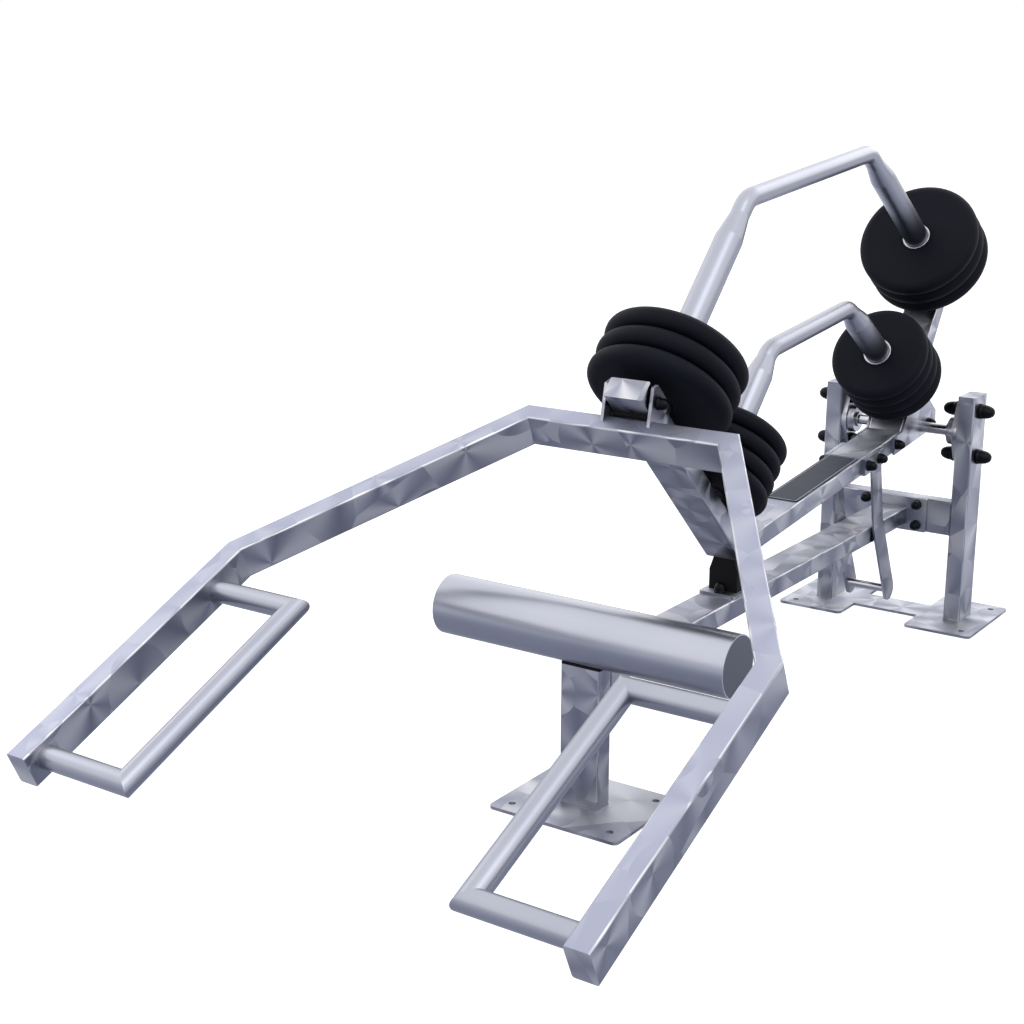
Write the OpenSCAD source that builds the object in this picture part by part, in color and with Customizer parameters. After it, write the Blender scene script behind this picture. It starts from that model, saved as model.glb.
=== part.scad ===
// Deadlift station for an outdoor gym. A floor stand carries a lever on an axle.
// The lever has two arched tubes with sliding rubber discs, and a yoke with two
// hand loops hangs from its front end. +X is right, +Y is rear, +Z is up, and the
// origin is on the ground under the axle.

/* [Flat-sided tubes] */
// Width of the two long beams, the front post and the struts
beam_w = 80; // [70:1:90]
// Depth of the two long beams, the front post and the struts
beam_h = 40; // [36:1:50]
// Wall of every flat-sided tube
wall = 3; // [2:0.5:4]
// Outer corner radius of every flat-sided tube
corner_r = 4; // [3:0.5:6]

/* [Rear stand] */
// Clear width between the two rear posts
post_gap = 284; // [270:2:340]
// Width of a rear post across the machine
post_w = 40; // [36:1:50]
// Depth of a rear post along the machine
post_d = 80; // [76:1:100]
// Height of the rear posts above the ground
post_top = 540; // [530:5:620]
// Height of the top of the rear crossbar
crossbar_top = 290; // [285:1:320]
// Height of the rear crossbar's section
crossbar_h = 80; // [74:1:90]
// Depth of the rear crossbar's section
crossbar_d = 40; // [36:1:50]

/* [Base plates] */
// Thickness of both base plates
plate_t = 6; // [5:0.5:12]
// Diameter of an anchor hole
anchor_d = 13; // [11:0.5:18]
// Distance between the left and right anchor holes of the rear plate
rear_hole_dx = 418; // [410:2:480]
// Distance between the front and rear anchor holes of the rear plate
rear_hole_dy = 196; // [180:2:240]
// Distance from an anchor hole's centre to the edges of the plate
hole_edge = 31; // [25:1:40]
// Width of each end pad of the rear plate
pad_w = 160; // [150:2:176]
// Depth of the narrow middle of the rear plate
web_d = 88; // [84:2:120]
// Distance between the left and right anchor holes of the front plate
front_hole_dx = 204; // [180:2:240]
// Distance between the front and rear anchor holes of the front plate
front_hole_dy = 156; // [140:2:200]
// Corner radius of both base plates
plate_r = 11; // [6:1:20]

/* [Floor beam and foot tube] */
// Distance from the axle forward to the front post's centre
front_reach = 1390; // [1340:5:1460]
// Height of the floor beam's top face
floor_beam_top = 265; // [262:1:275]
// Thickness of the flange that bolts the floor beam to the crossbar
flange_t = 6; // [5:0.5:10]
// Width of that flange
flange_w = 174; // [166:2:200]
// Distance between the flange bolts across the machine
flange_bolt_dx = 126; // [118:1:134]
// Height between the flange bolts
flange_bolt_dz = 50; // [44:1:54]
// Radius of the foot tube
foot_tube_r = 55; // [48:1:60]
// Length of the foot tube
foot_tube_len = 588; // [500:2:700]
// Thickness of the pad under the foot tube, at its thinnest
saddle_t = 2; // [1:0.5:5]

/* [Stop and guides] */
// Width of the rubber stop block
stop_w = 62; // [50:1:72]
// Length of the rubber stop block
stop_len = 70; // [50:1:90]
// Distance of the block's front face behind the lever's front corner
stop_back = 1; // [0:1:10]
// Width of each stop plate margin that holds a bolt
stop_margin = 25; // [25:1:30]
// Thickness of the guide pads on the floor beam's sides
guide_t = 3.5; // [2:0.5:4]

/* [Axle and bearings] */
// Height of the axle above the ground
axle_z = 451; // [440:1:470]
// Diameter of the axle
axle_d = 25; // [20:1:28]
// Height between the two bolts of a bearing
bearing_bolt_dz = 106; // [106:1:116]
// Radius of the round boss of a bearing
boss_r = 31; // [28:0.5:32]
// Height of that boss above the post's face
boss_h = 27; // [18:1:28]
// Radius of the turning ring inside a bearing
ring_r = 20; // [18:0.5:22]
// Radial running clearance of every pin, ring and shaft
run_gap = 0.05; // [0.03:0.01:0.08]

/* [Lever] */
// Tilt of the lever at rest, with its front end low
rest_tilt = 6; // [4:0.5:8]
// Length of the lever's beam in front of the axle
lever_front = 896; // [880:2:940]
// Length of the lever's beam behind the axle
lever_rear = 85; // [80:1:100]
// Angle of the front strut above the beam
front_angle = 130; // [126:1:132]
// Length of the front strut along its front face
front_strut_len = 552; // [548:1:580]
// Angle of the rear strut above the beam
rear_angle = 50; // [49:1:54]
// Distance from the axle forward to the foot of the rear strut
rear_foot = 115; // [108:1:122]
// Length of the rear strut along its front face
rear_strut_len = 480; // [470:2:520]
// Thickness of the two side plates
cheek_t = 5; // [4:0.5:8]

/* [Arches] */
// Radius of the thin part of an arch tube
arch_r = 19; // [17:0.5:21]
// Radius of the thick part that the discs sit on
seat_r = 27; // [25:0.5:28]
// Wall of the arch tubes
arch_wall = 3; // [2:0.5:5]
// Bend radius of the arch tubes
bend_r = 55; // [45:1:65]
// Height of the upper arch's top above the beam's middle
upper_z = 666; // [650:2:700]
// Distance from the axle forward to the upper arch's front bend
upper_front = 780; // [765:1:795]
// Distance from the axle forward to the upper arch's rear bend
upper_rear = 223; // [205:1:240]
// Height of the lower arch's top above the beam's middle
lower_z = 352; // [345:1:365]
// Distance from the axle forward to the lower arch's front bend
lower_front = 690; // [680:1:700]
// Distance from the axle forward to the lower arch's rear bend
lower_rear = 323; // [310:1:335]
// Length of the collar at each foot of the arches
collar_len = 18; // [12:1:24]
// Outer radius of that collar
collar_r = 34; // [31:0.5:40]

/* [Discs] */
// Radius of an upper disc
upper_disc_r = 137.5; // [120:0.5:142]
// Thickness of an upper disc
upper_disc_t = 41; // [36:0.5:44]
// Radius of a lower disc
lower_disc_r = 110; // [95:0.5:115]
// Thickness of a lower disc
lower_disc_t = 36; // [32:0.5:38]
// Width of the flat band round the rim of a disc
rim_flat = 2.4; // [0.6:0.2:8]
// Radius of the steel bush inside a disc
bush_r = 31; // [30:0.5:36]
// Radial gap between a disc's bush and its seat
slide_gap = 0.3; // [0.2:0.1:0.6]

/* [Stirrup] */
// Width of each stirrup bar
bar_w = 50; // [44:1:56]
// Thickness of each stirrup bar
bar_t = 5; // [4:0.5:8]
// Thickness of the spacer between a stirrup bar and the beam
spacer_t = 4; // [4:0.5:6]
// Radius of the rod across the stirrup
rod_r = 9; // [7:0.5:10]
// Depth of the rod below the beam's middle
rod_drop = 333; // [325:1:345]
// Distance between the two bolts of a stirrup bar
stirrup_bolt_dy = 57; // [50:1:62]

/* [Yoke] */
// Width of the yoke's tube in its own plane
yoke_w = 40; // [36:1:46]
// Depth of the yoke's tube square to its plane
yoke_d = 60; // [50:1:66]
// Angle of the yoke's plane below the lever's beam
yoke_drop = 18; // [16:0.5:20]
// Distance of the hinge bolt from the front strut's top end
hinge_down = 35; // [33:1:37]
// Distance of the hinge bolt behind the yoke's crossbar
hinge_back = 22.5; // [22:0.5:24]
// Height of the hinge bolt above the yoke's crossbar
hinge_up = 22; // [21:0.5:24]
// Half of the crossbar's length at its rear face
yoke_half = 213; // [200:1:230]
// Half of the yoke's overall width
leg_half = 529; // [500:1:560]
// Distance from the crossbar's rear face forward to the legs' bends
bend_reach = 502; // [460:2:540]
// Distance from the crossbar's rear face forward to the legs' ends
leg_reach = 1046; // [1040:2:1100]
// Diameter of the hand loops' tube
grip_d = 38; // [30:1:42]
// Distance between the middles of the two grips
grip_gap = 634; // [600:2:680]
// Distance from the crossbar's rear face forward to a loop's rear tube
loop_rear = 592; // [580:2:620]
// Distance from the crossbar's rear face forward to a loop's front tube
loop_front = 1009; // [960:2:1018]
// Thickness of the two hinge ears
ear_t = 6; // [5:0.5:7]
// Gap between the front strut's side and an ear, filled by a washer
ear_gap = 4; // [3:0.5:6]
// Radius of the ears' top about the hinge bolt
ear_r = 33; // [30:0.5:33]
// Diameter of the hinge bolt
hinge_d = 16; // [12:1:18]

/* [Bolts and caps] */
// Diameter of the bolts that hold the bearings
bolt_d = 12; // [10:1:12]
// Radius of the domed caps on those bolts
cap_r = 17.5; // [15:0.5:17.5]
// Height of those caps
cap_h = 34; // [33:0.5:36]
// Diameter of all other capped bolts
small_bolt_d = 10; // [8:1:10]
// Radius of the small domed caps
small_cap_r = 12; // [11.5:0.25:12]
// Height of the small caps
small_cap_h = 20; // [20:0.5:22]

/* [Hidden] */
$fn = 64;
STEEL = [0.70, 0.71, 0.76];
SATIN = [0.80, 0.81, 0.84];
RUBBER = [0.07, 0.07, 0.08];
BLACK = [0.03, 0.03, 0.035];
BADGE = [0.20, 0.23, 0.33];
stand_x = post_gap / 2 + post_w / 2;
flange_y = post_d / 2;
crossbar_z = crossbar_top - crossbar_h / 2;
floor_beam_z = floor_beam_top - beam_h / 2;
post_proud = 1;
front_post_top = floor_beam_top + post_proud;
foot_tube_z = front_post_top + saddle_t + foot_tube_r;
cradle_h = foot_tube_r - sqrt(foot_tube_r * foot_tube_r - beam_h * beam_h / 4);
bore_fit = 0.5;
touch_gap = 0.3;
seat_play = 0.1;
reach = 60;
nut_width = 1.84;
nut_height = 0.8;
washer_t = 2;
thread_out = 2;
nut_room = 0.4;
tip_room = 1;
stop_front = -lever_front * cos(rest_tilt) + beam_h / 2 * sin(rest_tilt) + stop_back;
stop_bolt_y = [stop_front - stop_margin / 2, stop_front + stop_len + stop_margin / 2];
stop_side_h = 41;
stop_taper = 8;
bearing_t = 12;
flange_lobe_r = 38;
lobe_r = 17;
boss_flare = 3;
ring_back = 3;
ring_out = boss_h + 6;
axle_half = post_gap / 2 - 2;
sleeve_t = 4;
cheek_x = beam_w / 2 + cheek_t;
cheek_front = 161;
cheek_rise = 35;
cheek_back = 44;
cheek_lip = 2;
cheek_bolt_front = 148;
cheek_bolt_rear = 36;
front_n = [sin(front_angle), -cos(front_angle)];
rear_n = [sin(rear_angle), -cos(rear_angle)];
front_corner = [-lever_front, -beam_h / 2];
rear_corner = [-rear_foot, beam_h / 2];
upper_v1 = [-upper_front, upper_z];
upper_v2 = [-upper_rear, upper_z];
lower_v1 = [-lower_front, lower_z];
lower_v2 = [-lower_rear, lower_z];
upper_l1 = (upper_v1 - front_corner) * front_n - beam_h;
lower_l1 = (lower_v1 - front_corner) * front_n - beam_h;
upper_l2 = (rear_corner - upper_v2) * rear_n;
lower_l2 = (rear_corner - lower_v2) * rear_n;
upper_cone = [43, 98];
lower_cone = [22, 63];
info_near = 645;
info_far = 335;
info_w = 72;
info_t = 2;
info_r = 8;
bar_x = beam_w / 2 + spacer_t;
bar_top = [-270, 0];
bar_knee = [-254, -155];
bar_foot = [-187, -341];
bar_swell = 0.5;
bar_bolt_y = -313;
head_edge = 19;
head_h = beam_h - 2;
rod_y = -205;
guide_front = 255;
guide_len = 60;
hinge_y = front_corner[0] + (front_strut_len - hinge_down) * cos(front_angle) + front_n[0] * beam_h / 2;
hinge_z = front_corner[1] + (front_strut_len - hinge_down) * sin(front_angle) + front_n[1] * beam_h / 2;
hinge_along = front_strut_len - hinge_down;
strut_in_yoke = front_angle - yoke_drop;
edge_off = hinge_back * sin(strut_in_yoke) - hinge_up * cos(strut_in_yoke);
edge_along = -hinge_back * cos(strut_in_yoke) - hinge_up * sin(strut_in_yoke);
yoke_pad_t = edge_off - beam_h / 2 - touch_gap;
yoke_pad_up = 5;
yoke_pad_down = 18;
yoke_pad_w = beam_w - 8;
flare = atan2(leg_half - yoke_half, bend_reach);
rear_mitre = (90 - flare) / 2;
leg_mitre = flare / 2;
ear_x = beam_w / 2 + ear_gap + ear_t;
washer_rim = 6;
hinge_head_h = 4;
ear_front = 20;
ear_back = [35, -29];
ear_angles = [95, 70];
grip_x = grip_gap / 2;
handle_wall = 2.5;

// Outline of a tube with rounded corners, centred on the origin
module rounded_rect(w, d, r) {
  square([w - 2 * r, d], center = true);
  square([w, d - 2 * r], center = true);
  for (x = [-1, 1], y = [-1, 1])
    translate([x * (w / 2 - r), y * (d / 2 - r)]) circle(r);
}

// Tube section, w along X and d along Y, with its wall
module tube_ring(w, d) {
  difference() {
    rounded_rect(w, d, corner_r);
    rounded_rect(w - 2 * wall, d - 2 * wall, max(corner_r - wall, 0.5));
  }
}

// Prism that trims both ends of a run along Z, whose outer face lies at y = 0
module end_cuts(w, d, len, foot, head) {
  over = 1;
  rotate([90, 0, 90]) translate([0, 0, -w]) linear_extrude(2 * w) polygon([
    [-over, -over * tan(foot)],
    [d + over, (d + over) * tan(foot)],
    [d + over, len - (d + over) * tan(head)],
    [-over, len + over * tan(head)]]);
}

// Flat-sided tube along Z with its outer face at y = 0 and both ends mitred
module mitred_tube(w, d, len, foot, head) {
  intersection() {
    translate([0, d / 2, -reach]) linear_extrude(len + 2 * reach) tube_ring(w, d);
    end_cuts(w, d, len, foot, head);
  }
}

// Round tube along Z with its outer face at y = 0 and both ends mitred
module mitred_pipe(d, len, foot, head) {
  intersection() {
    translate([0, d / 2, -reach]) difference() {
      cylinder(d = d, h = len + 2 * reach);
      translate([0, 0, -1]) cylinder(d = d - 2 * handle_wall, h = len + 2 * reach + 2);
    }
    end_cuts(d, d, len, foot, head);
  }
}

// Plate that closes the end of a flat-sided tube, inside its height
module end_plate(w, d) {
  linear_extrude(wall) rounded_rect(w, d, corner_r);
}

// Closed tube that stands on its foot, centred on the origin
module closed_post(w, d, len) {
  linear_extrude(len) tube_ring(w, d);
  translate([0, 0, len - wall]) end_plate(w, d);
}

// Cylinders that bore the four anchor holes of a base plate
module anchor_holes(dx, dy) {
  for (x = [-1, 1], y = [-1, 1])
    translate([x * dx / 2, y * dy / 2, -1]) cylinder(d = anchor_d, h = plate_t + 2);
}

// Washer and nut, or washer and head, above z = 0
module washer_and_nut(d) {
  cylinder(d = nut_width * d, h = washer_t);
  translate([0, 0, washer_t]) cylinder(d = nut_width * d, h = nut_height * d, $fn = 6);
}

// Bolt along Z that clamps what lies between z = 0 and z = grip
module through_bolt(grip, d) {
  end = washer_t + nut_height * d;
  translate([0, 0, -end]) cylinder(d = d, h = grip + 2 * end + thread_out);
  translate([0, 0, grip]) washer_and_nut(d);
  mirror([0, 0, 1]) washer_and_nut(d);
}

// Domed cap over the nut of a bolt, with its rim at z = 0
module domed_cap(r, h, d) {
  rotate_extrude() difference() {
    union() {
      square([r, h - r]);
      translate([0, h - r]) intersection() {
        circle(r);
        square(r);
      }
    }
    square([nut_width * d / 2 + nut_room, washer_t + nut_height * d + thread_out + tip_room]);
  }
}

module small_cap() {
  domed_cap(small_cap_r, small_cap_h, small_bolt_d);
}

// Two small caps on the ends of a bolt
module small_cap_pair(grip) {
  translate([0, 0, grip]) small_cap();
  mirror([0, 0, 1]) small_cap();
}

// Children drawn with Y and Z as their plane, and x as their thickness
module sheet(x, t) {
  translate([x, 0, 0]) rotate([90, 0, 90]) linear_extrude(t) children();
}

// Frame of the lever: Y along its beam, origin on the axle
module on_lever() {
  translate([0, 0, axle_z]) rotate([rest_tilt, 0, 0]) children();
}

// Frame of a strut: Z along it from its foot, front face at y = 0
module on_front_strut() {
  on_lever() translate([0, front_corner[0], front_corner[1]])
    rotate([front_angle - 90, 0, 0]) children();
}

module on_rear_strut() {
  on_lever() translate([0, rear_corner[0], rear_corner[1]])
    rotate([rear_angle - 90, 0, 0]) children();
}

// Frame of a seat: Z runs up the seat from the strut's face
module on_front_seat(v, len) {
  on_lever() translate([0, v[0] - len * front_n[0], v[1] - len * front_n[1]])
    rotate([front_angle - 180, 0, 0]) children();
}

module on_rear_seat(v, len) {
  on_lever() translate([0, v[0] + len * rear_n[0], v[1] + len * rear_n[1]])
    rotate([rear_angle, 0, 0]) children();
}

// Frame of the yoke: origin on the hinge bolt, -Y forward in its plane
module on_yoke() {
  on_lever() translate([0, hinge_y, hinge_z]) rotate([yoke_drop, 0, 0]) children();
}

// A run in the yoke's plane from a point s in front of the crossbar's rear face
module yoke_run(x, s, turn) {
  on_yoke() translate([x, -hinge_back - s, -hinge_up - yoke_d / 2])
    rotate([0, -90, 90 + turn]) children();
}

// Frame of a bearing: Z points from the post's inner face to the middle
module on_post_face(side) {
  translate([side * post_gap / 2, 0, axle_z]) rotate([0, -90 * side, 0]) children();
}

module rear_base_plate() {
  pad_x = rear_hole_dx / 2 + hole_edge - pad_w / 2;
  color(STEEL) difference() {
    linear_extrude(plate_t) {
      for (side = [-1, 1]) translate([side * pad_x, 0])
        rounded_rect(pad_w, rear_hole_dy + 2 * hole_edge, plate_r);
      square([2 * pad_x, web_d], center = true);
    }
    anchor_holes(rear_hole_dx, rear_hole_dy);
  }
}

module rear_post(side) {
  color(STEEL) difference() {
    translate([side * stand_x, 0, plate_t]) closed_post(post_w, post_d, post_top - plate_t);
    for (z = [-1, 1]) translate([side * stand_x, 0, axle_z + z * bearing_bolt_dz / 2])
      rotate([0, 90, 0]) cylinder(d = bolt_d + bore_fit, h = post_w + 2, center = true);
  }
}

// Places one child at each of the four flange bolts, Z pointing to the rear
module at_flange_bolts() {
  for (x = [-1, 1], z = [-1, 1])
    translate([x * flange_bolt_dx / 2, -flange_y - flange_t, crossbar_z + z * flange_bolt_dz / 2])
      rotate([-90, 0, 0]) children();
}

module rear_crossbar() {
  color(STEEL) difference() {
    translate([-post_gap / 2, crossbar_d / 2 - flange_y, crossbar_z]) rotate([0, 90, 0])
      linear_extrude(post_gap) tube_ring(crossbar_h, crossbar_d);
    at_flange_bolts() cylinder(d = small_bolt_d + bore_fit, h = crossbar_d + flange_t + 1);
  }
}

module beam_flange() {
  color(STEEL) difference() {
    translate([0, -flange_y, crossbar_z]) rotate([90, 0, 0]) linear_extrude(flange_t)
      rounded_rect(flange_w, crossbar_h, corner_r);
    at_flange_bolts() translate([0, 0, -1])
      cylinder(d = small_bolt_d + bore_fit, h = flange_t + 2);
  }
}

module floor_beam() {
  rear_y = -flange_y - flange_t;
  front_y = -front_reach + beam_h / 2;
  color(STEEL) difference() {
    translate([0, rear_y, floor_beam_z]) rotate([90, 0, 0])
      linear_extrude(rear_y - front_y) tube_ring(beam_w, beam_h);
    for (y = stop_bolt_y)
      translate([0, y, floor_beam_z]) cylinder(d = small_bolt_d + bore_fit, h = beam_h);
  }
}

module front_post() {
  color(STEEL) translate([0, -front_reach, plate_t])
    closed_post(beam_w, beam_h, front_post_top - plate_t);
}

module front_base_plate() {
  color(STEEL) translate([0, -front_reach, 0]) difference() {
    linear_extrude(plate_t)
      rounded_rect(front_hole_dx + 2 * hole_edge, front_hole_dy + 2 * hole_edge, plate_r);
    anchor_holes(front_hole_dx, front_hole_dy);
  }
}

module foot_tube() {
  color(SATIN) translate([0, -front_reach, foot_tube_z]) rotate([0, 90, 0]) difference() {
    cylinder(r = foot_tube_r, h = foot_tube_len, center = true, $fn = 96);
    cylinder(r = foot_tube_r - wall, h = foot_tube_len - 2 * wall, center = true, $fn = 96);
  }
}

module foot_tube_saddle() {
  color(BLACK) difference() {
    translate([0, -front_reach, front_post_top]) linear_extrude(saddle_t + cradle_h)
      rounded_rect(beam_w, beam_h, corner_r);
    translate([0, -front_reach, foot_tube_z]) rotate([0, 90, 0])
      cylinder(r = foot_tube_r + seat_play, h = beam_w + 2, center = true, $fn = 96);
  }
}

module stop_plate() {
  color(STEEL) difference() {
    translate([0, stop_front + stop_len / 2, floor_beam_top]) linear_extrude(plate_t)
      rounded_rect(beam_w, stop_len + 2 * stop_margin, corner_r);
    for (y = stop_bolt_y) translate([0, y, floor_beam_top - 1])
      cylinder(d = small_bolt_d + bore_fit, h = plate_t + 2);
  }
}

module stop_block() {
  block_h = axle_z - floor_beam_top;
  neck_x = stop_w / 2 - stop_taper;
  neck_z = stop_side_h + 3 * stop_taper;
  color(RUBBER) difference() {
    translate([0, stop_front, floor_beam_top + plate_t]) rotate([90, 0, 180])
      linear_extrude(stop_len) polygon([
        [-stop_w / 2, 0], [stop_w / 2, 0], [stop_w / 2, stop_side_h], [neck_x, neck_z],
        [neck_x, block_h], [-neck_x, block_h], [-neck_x, neck_z], [-stop_w / 2, stop_side_h]]);
    on_lever() translate([-beam_w, -lever_front - reach, -beam_h / 2 - touch_gap])
      cube([2 * beam_w, lever_front, block_h + reach]);
  }
}

module guide_pads() {
  color(BLACK) for (side = [-1, 1])
    translate([side * (beam_w / 2 + guide_t / 2), guide_len / 2 - guide_front, floor_beam_z])
      cube([guide_t, guide_len, beam_h - 2 * corner_r], center = true);
}

// Outline of a bearing's flange: a boss with an ear above and below, joined by tangents
module bearing_outline() {
  half = bearing_bolt_dz / 2;
  lean = asin((flange_lobe_r - lobe_r) / half);
  circle(flange_lobe_r);
  for (end = [-1, 1]) {
    translate([end * half, 0]) circle(lobe_r);
    polygon([
      [end * flange_lobe_r * sin(lean), flange_lobe_r * cos(lean)],
      [end * (half + lobe_r * sin(lean)), lobe_r * cos(lean)],
      [end * (half + lobe_r * sin(lean)), -lobe_r * cos(lean)],
      [end * flange_lobe_r * sin(lean), -flange_lobe_r * cos(lean)]]);
  }
}

module bearing(side) {
  color(STEEL) on_post_face(side) difference() {
    union() {
      linear_extrude(bearing_t) bearing_outline();
      cylinder(r1 = boss_r + boss_flare, r2 = boss_r, h = boss_h);
    }
    translate([0, 0, -1]) cylinder(r = ring_r, h = boss_h + 2);
    for (end = [-1, 1]) translate([end * bearing_bolt_dz / 2, 0, -1])
      cylinder(d = bolt_d + bore_fit, h = bearing_t + 2);
  }
}

module bearing_rings() {
  color(SATIN) for (side = [-1, 1]) on_post_face(side) difference() {
    union() {
      translate([0, 0, ring_back]) cylinder(r = ring_r - run_gap, h = boss_h - ring_back);
      translate([0, 0, ring_back]) cylinder(r = ring_r - 1, h = ring_out - ring_back);
    }
    cylinder(r = axle_d / 2 + run_gap, h = ring_out + 2);
  }
}

// Places its children at each bearing bolt, Z from the outer face to the bearing
module at_bearing_bolts() {
  for (side = [-1, 1], z = [-1, 1])
    translate([side * (post_gap / 2 + post_w), 0, axle_z + z * bearing_bolt_dz / 2])
      rotate([0, -90 * side, 0]) children();
}

// Places one child at each bolt of the stop plate, on the plate's top
module at_stop_bolts() {
  for (y = stop_bolt_y) translate([0, y, floor_beam_top + plate_t]) children();
}

// Bolt of the stop plate, with a nut above z = 0 and its head inside the beam
module stop_bolt(d) {
  head_z = -plate_t - wall - nut_height * d;
  translate([0, 0, head_z]) cylinder(d = nut_width * d, h = nut_height * d, $fn = 6);
  translate([0, 0, head_z]) cylinder(d = d, h = washer_t + nut_height * d + thread_out - head_z);
  washer_and_nut(d);
}

module stand_bolts() {
  color(SATIN) {
    at_bearing_bolts() through_bolt(post_w + bearing_t, bolt_d);
    at_flange_bolts() through_bolt(flange_t + crossbar_d, small_bolt_d);
    at_stop_bolts() stop_bolt(small_bolt_d);
  }
}

module stand_caps() {
  color(BLACK) {
    at_bearing_bolts() {
      translate([0, 0, post_w + bearing_t]) domed_cap(cap_r, cap_h, bolt_d);
      mirror([0, 0, 1]) domed_cap(cap_r, cap_h, bolt_d);
    }
    at_flange_bolts() small_cap_pair(flange_t + crossbar_d);
    at_stop_bolts() small_cap();
  }
}

// Holes across the lever's beam for its capped bolts
module lever_bolt_bores(r) {
  for (y = [-cheek_bolt_front, cheek_bolt_rear, bar_bolt_y, bar_bolt_y + stirrup_bolt_dy])
    translate([0, y, 0]) rotate([0, 90, 0]) cylinder(r = r, h = 2 * beam_w, center = true);
}

module lever_beam() {
  len = lever_front + lever_rear;
  color(STEEL) on_lever() difference() {
    union() {
      translate([0, front_corner[0], front_corner[1]]) rotate([90, 0, 180])
        mitred_tube(beam_w, beam_h, len, 90 - front_angle / 2, 0);
      translate([0, lever_rear, 0]) rotate([90, 0, 0]) end_plate(beam_w, beam_h);
      rotate([0, 90, 0]) cylinder(d = axle_d + 2 * sleeve_t, h = beam_w - 2 * wall, center = true);
    }
    rotate([0, 90, 0]) cylinder(r = axle_d / 2 + run_gap, h = beam_w + 2, center = true);
    lever_bolt_bores((small_bolt_d + bore_fit) / 2);
  }
}

module front_strut() {
  color(STEEL) on_front_strut() difference() {
    union() {
      mitred_tube(beam_w, beam_h, front_strut_len, 90 - front_angle / 2, 0);
      translate([0, beam_h / 2, front_strut_len - wall]) end_plate(beam_w, beam_h);
      translate([0, beam_h / 2, hinge_along]) rotate([0, 90, 0])
        cylinder(d = hinge_d + 2 * sleeve_t, h = beam_w - 2 * wall, center = true);
    }
    translate([0, beam_h / 2, hinge_along]) rotate([0, 90, 0])
      cylinder(r = hinge_d / 2 + run_gap, h = beam_w + 2, center = true);
  }
}

module rear_strut() {
  color(STEEL) on_rear_strut() {
    mitred_tube(beam_w, beam_h, rear_strut_len, 90 - rear_angle, 0);
    translate([0, beam_h / 2, rear_strut_len - wall]) end_plate(beam_w, beam_h);
  }
}

module side_plate(side) {
  top = beam_h / 2 + cheek_rise;
  bottom = -beam_h / 2 - cheek_lip;
  slope = cheek_rise / tan(rear_angle);
  color(STEEL) on_lever() difference() {
    sheet(side > 0 ? beam_w / 2 : -beam_w / 2 - cheek_t, cheek_t) polygon([
      [-cheek_front, bottom], [-cheek_front, beam_h / 2], [-rear_foot, beam_h / 2],
      [slope - rear_foot, top], [cheek_back, top], [lever_rear - 1, beam_h / 2 - cheek_lip],
      [lever_rear - 1, bottom]]);
    rotate([0, 90, 0]) cylinder(r = axle_d / 2 + run_gap, h = 3 * beam_w, center = true);
    lever_bolt_bores((small_bolt_d + bore_fit) / 2);
  }
}

module axle() {
  color(SATIN) translate([0, 0, axle_z]) rotate([0, 90, 0])
    cylinder(d = axle_d, h = 2 * axle_half, center = true);
}

// One side of an arch from its bend's centre: the bend, then a leg of thin tube,
// a cone and the thick seat, whose foot stands square on a strut
module arch_side(turn, len, cone) {
  tangent = bend_r * tan(turn / 2);
  bore_r = arch_r - arch_wall;
  rotate([90, 0, 90]) rotate([0, 0, 90]) rotate_extrude(angle = turn)
    translate([bend_r, 0]) difference() {
      circle(arch_r);
      circle(bore_r);
    }
  rotate([turn, 0, 0]) translate([0, 0, bend_r]) rotate([90, 0, 0]) rotate_extrude() polygon([
    [bore_r, 0], [arch_r, 0], [arch_r, cone[0] - tangent],
    [seat_r, cone[1] - tangent], [seat_r, len - tangent], [bore_r, len - tangent]]);
}

module arch(v1, v2, l1, l2, cone) {
  turn1 = front_angle - 90;
  turn2 = 90 - rear_angle;
  start = v1[0] + bend_r * tan(turn1 / 2);
  end = v2[0] - bend_r * tan(turn2 / 2);
  color(SATIN) on_lever() translate([0, start, v1[1] - bend_r]) {
    arch_side(turn1, l1, cone);
    translate([0, end - start, 0]) mirror([0, 1, 0]) arch_side(turn2, l2, cone);
    translate([0, 0, bend_r]) rotate([-90, 0, 0]) rotate_extrude()
      translate([arch_r - arch_wall, 0]) square([arch_wall, end - start]);
  }
}

module upper_arch() {
  arch(upper_v1, upper_v2, upper_l1, upper_l2, upper_cone);
}

module lower_arch() {
  arch(lower_v1, lower_v2, lower_l1, lower_l2, lower_cone);
}

module collar() {
  difference() {
    cylinder(r = collar_r, h = collar_len);
    translate([0, 0, -1]) cylinder(r = seat_r + run_gap, h = collar_len + 2);
  }
}

module arch_collars() {
  color(STEEL) {
    on_front_seat(upper_v1, upper_l1) collar();
    on_rear_seat(upper_v2, upper_l2) collar();
    on_front_seat(lower_v1, lower_l1) collar();
    on_rear_seat(lower_v2, lower_l2) collar();
  }
}

module info_plate() {
  color(BADGE) on_lever() translate([0, -(info_near + info_far) / 2, beam_h / 2])
    linear_extrude(info_t) rounded_rect(info_w, info_near - info_far, info_r);
}

// Flat bar outline between two points, with a round far end that stands a little proud
module bar_link(a, b, w) {
  run = b - a;
  translate(a) rotate(atan2(run[1], run[0])) translate([0, -w / 2]) square([norm(run), w]);
  translate(b) circle(d = w + 2 * bar_swell);
}

// Rectangle on the beam's side that takes the two stirrup bolts
module stirrup_head() {
  translate([bar_bolt_y - head_edge, -head_h / 2]) square([stirrup_bolt_dy + 2 * head_edge, head_h]);
}

module stirrup_bar(side) {
  color(STEEL) on_lever() difference() {
    sheet(side > 0 ? bar_x : -bar_x - bar_t, bar_t) {
      stirrup_head();
      bar_link(bar_top, bar_knee, bar_w);
      bar_link(bar_knee, bar_foot, bar_w);
    }
    lever_bolt_bores((small_bolt_d + bore_fit) / 2);
  }
}

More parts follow.
